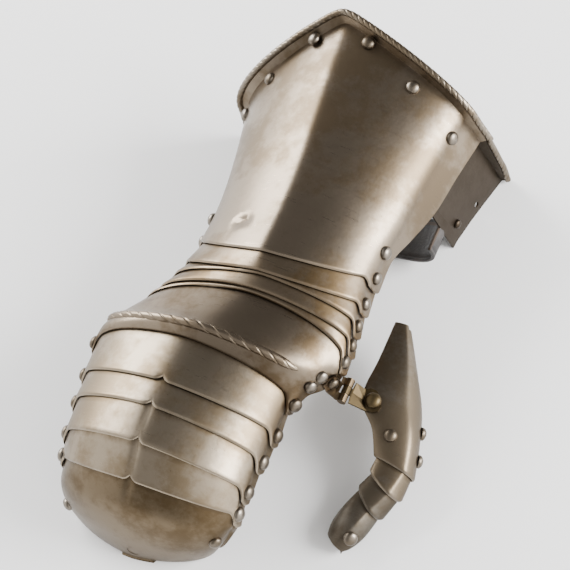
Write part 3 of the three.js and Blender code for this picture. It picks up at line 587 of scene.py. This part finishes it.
# across the band: place, and depth under its inner face; a loop round the section
tooled = [(5.0, 0.0), (2.7, 0.0), (2.2, 0.5), (1.7, 0.0), (0.6, 0.0), (0.1, 0.4)]
loop = [(half - inset, depth) for inset, depth in tooled]
loop += [(half - inset, strap_thick - depth) for inset, depth in tooled[::-1]]
loop += [(-across, depth) for across, depth in loop[::-1]]
ahead = np.gradient(np.array(middle_line), axis=0)
ahead /= np.linalg.norm(ahead, axis=1, keepdims=True)
points, faces = [], []
for centre, along in zip(middle_line, ahead):
    away = np.cross((0, 1, 0), along)
    points += [centre + np.array([0, strap_y + across, 0]) + away * deep for across, deep in loop]
size = len(loop)
for k in range(len(middle_line) - 1):
    faces += [(k * size + c, k * size + (c + 1) % size, (k + 1) * size + (c + 1) % size,
               (k + 1) * size + c) for c in range(size)]
faces += [tuple(range(size))[::-1], tuple(range(len(points) - size, len(points)))]
strap = add_mesh("strap_band", points, faces, black, body_of_node["wrist_strap"])
strap.data.materials.append(bare)
for k, face in enumerate(strap.data.polygons):
    face.material_index = int(k % size < 2)
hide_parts("wrist_strap")

# ---- Wrist lames
# Four narrow steel lames, each sliding under the one before it on a pair of rivets.
wrist_overlaps = (6, 12)
notch_side = 0.3
lame_steel = worn_steel("lame_steel", (0.190, 0.149, 0.105), (0.115, 0.078, 0.040), 0.95)
wrist_edges = [
    (0.0, -13.5, 47.5, 54.0, -12, 32.8, 0.25, 0, 6),
    (-1.2, -26.5, 47.0, 56.0, 0, 31.3, 0.25, 0, 6),
    (-2.8, -37.5, 46.5, 58.8, 3.4, 28.8, 0.22, 0, 6),
    (-5.5, -47.5, 46.0, 60.5, 11.6, 27.2, 0.22, 0, 6),
]


def next_plate(previous, keys, table, overlaps, lobed=True, notch=0.0, per_span=5):
    """The plate that starts under the lower edge of the one before and ends at the table's rows.

    overlaps: how far it lies under the one before, at the ridge and at the sides.
    """
    at_ridge, at_side = overlaps
    limb = previous.limb
    columns = []
    for j, (angle, drop) in enumerate(limb.across):
        share = abs(math.sin(math.radians(angle)))
        overlap = at_ridge + (at_side - at_ridge) * share ** 3
        hidden = []
        for distance in (overlap, overlap / 2, 0):
            point, normal = previous.back(j, distance)
            hidden.append(point - normal * layer)
        own = [limb.point(dict(zip(keys, row)), angle, drop) for row in table]
        if lobed:
            own[-1] = own[-1] - frame_at(own[-1][1])[1] * tab_reach * tab_weight(angle, drop)
        column = smoothed(hidden + own, per_span)
        if notch and abs(angle) <= 2:
            back = column[-2] - column[-1]
            cut = notch if angle == 0 else notch * notch_side
            column[-1] = column[-1] + back / np.linalg.norm(back) * cut
        columns.append(column)
    return Plate(limb, columns, 2 * per_span)


above = bare_cuff
for k, row in enumerate(wrist_edges):
    above = next_plate(above, ARM, [row], wrist_overlaps)
    shown(above, f"wrist_lame_{k + 1}", f"wrist_{k + 1}", lame_steel)

# ---- Metacarpal plate
# One steel plate over the back of the hand. A ridge is raised over the knuckles and filed with
# slanting nicks to look like rope.
hand_steel = worn_steel("hand_steel", (0.180, 0.144, 0.106), (0.095, 0.066, 0.037), 0.95)
hand_rows = [
    (-12, -57, 45.0, 61.5, 0, 31.5, 0.22, 0, 8),
    (-16.5, -64, 44.5, 62.0, -1.4, 35.5, 0.22, 0, 5),
    (-21, -70, 43.0, 61.0, 1, 35.3, 0.22, 0, 3),
    (-24.5, -76, 40.0, 59.2, 3.5, 34.5, 0.22, 0, 5),
]
above = next_plate(above, ARM, hand_rows, wrist_overlaps)
shown(above, "metacarpal_plate", "hand", hand_steel)
knuckle_row = dict(zip(ARM, hand_rows[1]))
knuckle_sink = np.array([0, -0.4, -0.35])
knuckle_facing = np.array([0.0, 1.0, 0.3])
knuckle_radius, knuckle_pitch = rope_radius + 0.5, 7.8
knuckle_path = [arm_point(knuckle_row, angle, 0) + knuckle_sink for angle in range(-88, 61, 4)]
rope_points, rope_faces = roped(knuckle_path, knuckle_radius, knuckle_pitch, knuckle_facing,
                                depth=0.24, width=0.11, fade=9.0)
add_mesh("knuckle_rope", rope_points, rope_faces, hand_steel, "hand")

# ---- Finger lames and end plate
# Four wide steel lames with a small V notch at the ridge, and the rounded plate over the tips.
finger_steel = worn_steel("finger_steel", (0.232, 0.192, 0.143), (0.135, 0.098, 0.056), 0.75)
end_steel = worn_steel("end_steel", (0.128, 0.097, 0.062), (0.074, 0.050, 0.025), 0.9)
finger_edges = [
    (-23, -95, 38.5, 57.6, -4.4, 37.5, 0.22, 0, 5),
    (-22.6, -111, 37.5, 55.8, -3.4, 38.0, 0.22, 0, 5),
    (-22.2, -128, 34.0, 54.0, -5.6, 36.5, 0.22, 0, 5),
    (-21.5, -138.5, 28.0, 52.4, -12, 30.5, 0.22, 0, 5),
]
tip_rows = [
    (-23.5, -146, 21, 50.0, -14.5, 22, 0.16, 0, 4),
    (-25, -149, 14, 48.5, -17.5, 12, 0.1, 0, 3),
    (-26, -150.5, 7, 46.0, -19, 4, 0.05, 0.1, 2),
    (-26.5, -151, 2.6, 44.0, -19.5, -2.6, 0, 0.2, 0),
]
finger_overlaps, notch_depth = (8, 12), 2.6
for k, row in enumerate(finger_edges):
    above = next_plate(above, ARM, [row], finger_overlaps, notch=notch_depth)
    shown(above, f"finger_lame_{k + 1}", f"finger_{k + 1}", finger_steel)
above = next_plate(above, ARM, tip_rows, finger_overlaps, lobed=False)
shown(above, "finger_end_plate", "finger_end", end_steel)

# ---- Thumb
# A ridged base plate that runs up to a point, two lames and a tip plate, darker towards the tip.
# x, y, z: middle of the chord between the edges; width: half of it; height and lean: how high and
# how far outwards the crest is; heading, pitch and turn are in degrees.
THUMB = "x y z width height lean reach heading pitch turn".split()
thumb_rows = [
    (67.6, -4, 21.5, 4.6, 2.8, 1.0, 0, 6, 5, 32),
    (74.2, -30, 21.0, 11.5, 7.4, 3.6, 0, 5, 5, 34),
    (78.6, -52, 20.0, 17.2, 10.8, 5.4, 0, 15, 6, 37),
    (87.0, -68, 19.0, 13.6, 10.0, 4.5, 0, 8, 8, 38),
    (92.2, -84, 15.0, 12.6, 9.5, 3.0, -1, -12, 12, 38),
]
thumb_edges = [
    (91.2, -93, 12.8, 11.8, 9.0, 2, 2.5, -24, 12, 36),
    (86.6, -103.5, 10.6, 10.8, 8.6, 2, 3, -36, 12, 33),
]
thumb_tip_rows = [
    (82.0, -115, 8.6, 9.8, 7.8, 1.5, 1, -40, 14, 30),
    (78.0, -123.5, 6.6, 8.6, 6.4, 1, 0.5, -42, 20, 27),
    (75.4, -129, 4.6, 5.6, 3.2, 0, 0, -42, 30, 25),
]
thumb_keel, thumb_round = 0.35, 0.06
thumb_overlaps, thumb_steps = (5, 5), 8
thumb_steel = worn_steel("thumb_steel", (0.185, 0.158, 0.126), (0.115, 0.088, 0.057), 0.85)
thumb_dark = worn_steel("thumb_dark", (0.105, 0.093, 0.077), (0.065, 0.052, 0.037), 0.9, 0.34)


def thumb_point(row, angle, drop):
    heading, pitch, turn = (math.radians(row[key]) for key in ("heading", "pitch", "turn"))
    sine, cosine = math.sin(math.radians(angle)), math.cos(math.radians(angle))
    along = np.array([math.sin(heading) * math.cos(pitch), -math.cos(heading) * math.cos(pitch),
                      -math.sin(pitch)])
    side = np.cross((0, 0, 1), along)
    side /= np.linalg.norm(side)
    up = np.cross(along, side)
    chord = side * math.cos(turn) - up * math.sin(turn)
    crest = up * math.cos(turn) + side * math.sin(turn)
    rise = cosine + (1 - math.hypot(sine, thumb_round * cosine) - cosine) * thumb_keel
    return (np.array([row["x"], row["y"], row["z"]])
            + chord * (row["width"] * sine + row["lean"] * cosine)
            + along * row["reach"] * cosine + crest * row["height"] * rise)


thumb = Limb([(angle, 0) for angle in range(-90, 91, 5)], thumb_point,
             lambda p: np.array([p[0] * 0.3 + 52, p[1], -4]))
base_rows = [dict(zip(THUMB, row)) for row in smoothed(thumb_rows, thumb_steps)]
above = Plate(thumb, [[thumb_point(row, angle, 0) for row in base_rows]
                      for angle, _ in thumb.across])
shown(above, "thumb_base_plate", "thumb", thumb_steel)
for k, row in enumerate(thumb_edges):
    above = next_plate(above, THUMB, [row], thumb_overlaps, lobed=False)
    shown(above, f"thumb_lame_{k + 1}", f"thumb_{k + 1}", (thumb_steel, thumb_dark)[k])
above = next_plate(above, THUMB, thumb_tip_rows, thumb_overlaps, lobed=False)
shown(above, "thumb_tip_plate", "thumb_tip", thumb_dark)

# ---- Thumb hinge
# Two leaves on one pin. The steel one is riveted to the hand and the brass one to the thumb. Both
# keep their solids, with worn, rounded edges.
brass = worn_steel("dull_brass", (0.120, 0.090, 0.044), (0.060, 0.043, 0.023), 0.9, 0.32)
leaf_bevel, leaf_crease = 0.25, 35
for name, metal in (("hinge_leaf_hand", hand_steel), ("hinge_leaf_thumb", brass)):
    leaf = frame["nodes"][name]
    leaf.data.materials.clear()
    leaf.data.materials.append(metal)
    leaf.data.shade_smooth()
    round_edges(leaf, leaf_bevel, leaf_crease)

# ---- Rivets
# Steel rivets with low domed heads, hammered down over their shanks. The thumb leaf's is brass, and
# the strap's is painted as dark as the side plate that it goes through, with the same painted shade.
rivet_steel = worn_steel("rivet_steel", (0.200, 0.176, 0.147), (0.095, 0.074, 0.051), 0.9, 0.24)
rng = np.random.default_rng(7)


def dome(radius, height):
    around, rings, sunk = 28, 9, 0.35
    profile = [(radius, -sunk)]
    profile += [(radius * math.cos(turn), height * math.sin(turn) ** 0.9)
                for turn in np.linspace(0, math.pi / 2, rings)[:-1]]
    points = [(r * math.cos(a), r * math.sin(a), h) for r, h in profile
              for a in np.linspace(0, 2 * math.pi, around, endpoint=False)]
    faces = [(k * around + c, k * around + (c + 1) % around, (k + 1) * around + (c + 1) % around,
              (k + 1) * around + c) for k in range(len(profile) - 1) for c in range(around)]
    top = len(points)
    last = (len(profile) - 1) * around
    faces += [(last + c, last + (c + 1) % around, top) for c in range(around)]
    return np.array([*points, (0, 0, height)]), faces


def rivet_axis(head):
    """The middle of a rivet's flat side, its outward direction, radius and height."""
    verts = np.array([head.matrix_world @ v.co for v in head.data.vertices]) / MM
    verts = np.unique(np.round(verts, 3), axis=0)
    middle = verts.mean(axis=0)
    outward = np.linalg.eigh(np.cov((verts - middle).T))[1][:, 0]
    heights = (verts - middle) @ outward
    if heights.max() < -heights.min():
        outward, heights = -outward, -heights
    radius = np.sqrt(((verts - middle) ** 2).sum(1) - heights ** 2).max()
    return middle + outward * heights.min(), outward, radius, heights.max() - heights.min()


for name, head in sorted(frame["nodes"].items()):
    if "rivet" not in name:
        continue
    base, outward, radius, height = rivet_axis(head)
    points, faces = dome(radius, height * rng.uniform(0.93, 1.0))
    turn = np.array(Vector((0, 0, 1)).rotation_difference(Vector(outward)).to_matrix())
    # The strap rivet takes the side plates' painted shade.
    metal = {"hinge_rivet_thumb": brass, "strap_rivet": shaded_side_steel}.get(name, rivet_steel)
    made = add_mesh(name + "_head", points @ turn.T + base - origin, faces, metal,
                    body_of_node[name])
    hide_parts(name)

# ---- Studio
# A pale floor in a soft tent of light, bright at both sides and dim behind and overhead.
floor_mesh = bpy.data.meshes.new("floor")
floor_mesh.from_pydata([(-3, -3, 0), (3, -3, 0), (3, 3, 0), (-3, 3, 0)], [], [(0, 1, 2, 3)])
floor = bpy.data.objects.new("floor", floor_mesh)
bpy.context.scene.collection.objects.link(floor)
paper, wire, place = new_material("paper")
finish(wire, {"Base Color": (0.93, 0.93, 0.93, 1), "Roughness": 0.9})
floor_mesh.materials.append(paper)


def panel(name, place, size, power):
    light = bpy.data.lights.new(name, "AREA")
    light.shape = "RECTANGLE"
    light.size, light.size_y = size
    light.energy = power
    lamp = bpy.data.objects.new(name, light)
    bpy.context.scene.collection.objects.link(lamp)
    lamp.location = place
    lamp.rotation_euler = (-Vector(place)).to_track_quat("-Z", "Y").to_euler()


panel("left_panel", (-1.3, 0.45, 0.75), (1.0, 0.8), 42)
panel("right_panel", (1.3, 0.35, 0.65), (0.9, 0.7), 60)
world = bpy.data.worlds.new("studio")
bpy.context.scene.world = world
world.use_nodes = True
world.node_tree.nodes.clear()
wire = Wire(world.node_tree)
direction = wire.node("ShaderNodeTexCoord")
parts = [wire.node("ShaderNodeSeparateXYZ", {}, {0: direction}, out=k) for k in range(3)]
sideways = parts[0].step(0.2, 0.85) * 2.35 + (parts[0] * -1.0).step(0.2, 0.85) * 1.65
behind = parts[0] * 0.12 + parts[1] * 0.55 + parts[2] * 0.83
glow = 0.18 + (0.5 + sideways) * (1.0 - behind.step(0.6, 0.92))
wire.node("ShaderNodeOutputWorld", {}, {"Surface": wire.node(
    "ShaderNodeBackground", {}, {"Color": (1, 0.985, 0.965, 1), "Strength": glow})})

# ---- Camera
# Above the hand, to the thumb side and towards the finger tips, with a long lens.
side_angle, low_angle, lean = (math.radians(turn) for turn in (20, 28, 15.5))
to_camera = Vector((math.sin(side_angle), -math.cos(side_angle) * math.sin(low_angle),
                    math.cos(side_angle) * math.cos(low_angle)))
level = Vector((math.cos(side_angle), math.sin(side_angle) * math.sin(low_angle),
                -math.sin(side_angle) * math.cos(low_angle)))
rise = Vector((0, math.cos(low_angle), math.sin(low_angle)))
right = level * math.cos(lean) + rise * math.sin(lean)
up = rise * math.cos(lean) - level * math.sin(lean)
lens = bpy.data.cameras.new("camera")
lens.sensor_width = 36
view_distance, view_width = 0.9, 0.3135
lens.lens = lens.sensor_width * view_distance / view_width
lens.shift_x, lens.shift_y = -0.0032, -0.033
camera = bpy.data.objects.new("camera", lens)
bpy.context.scene.collection.objects.link(camera)
aim = Vector((origin + np.array([0, 0, 44])) * MM)
camera.matrix_world = (Matrix.Translation(aim + to_camera * view_distance)
                       @ Matrix((right, up, to_camera)).transposed().to_4x4())
bpy.context.scene.camera = camera
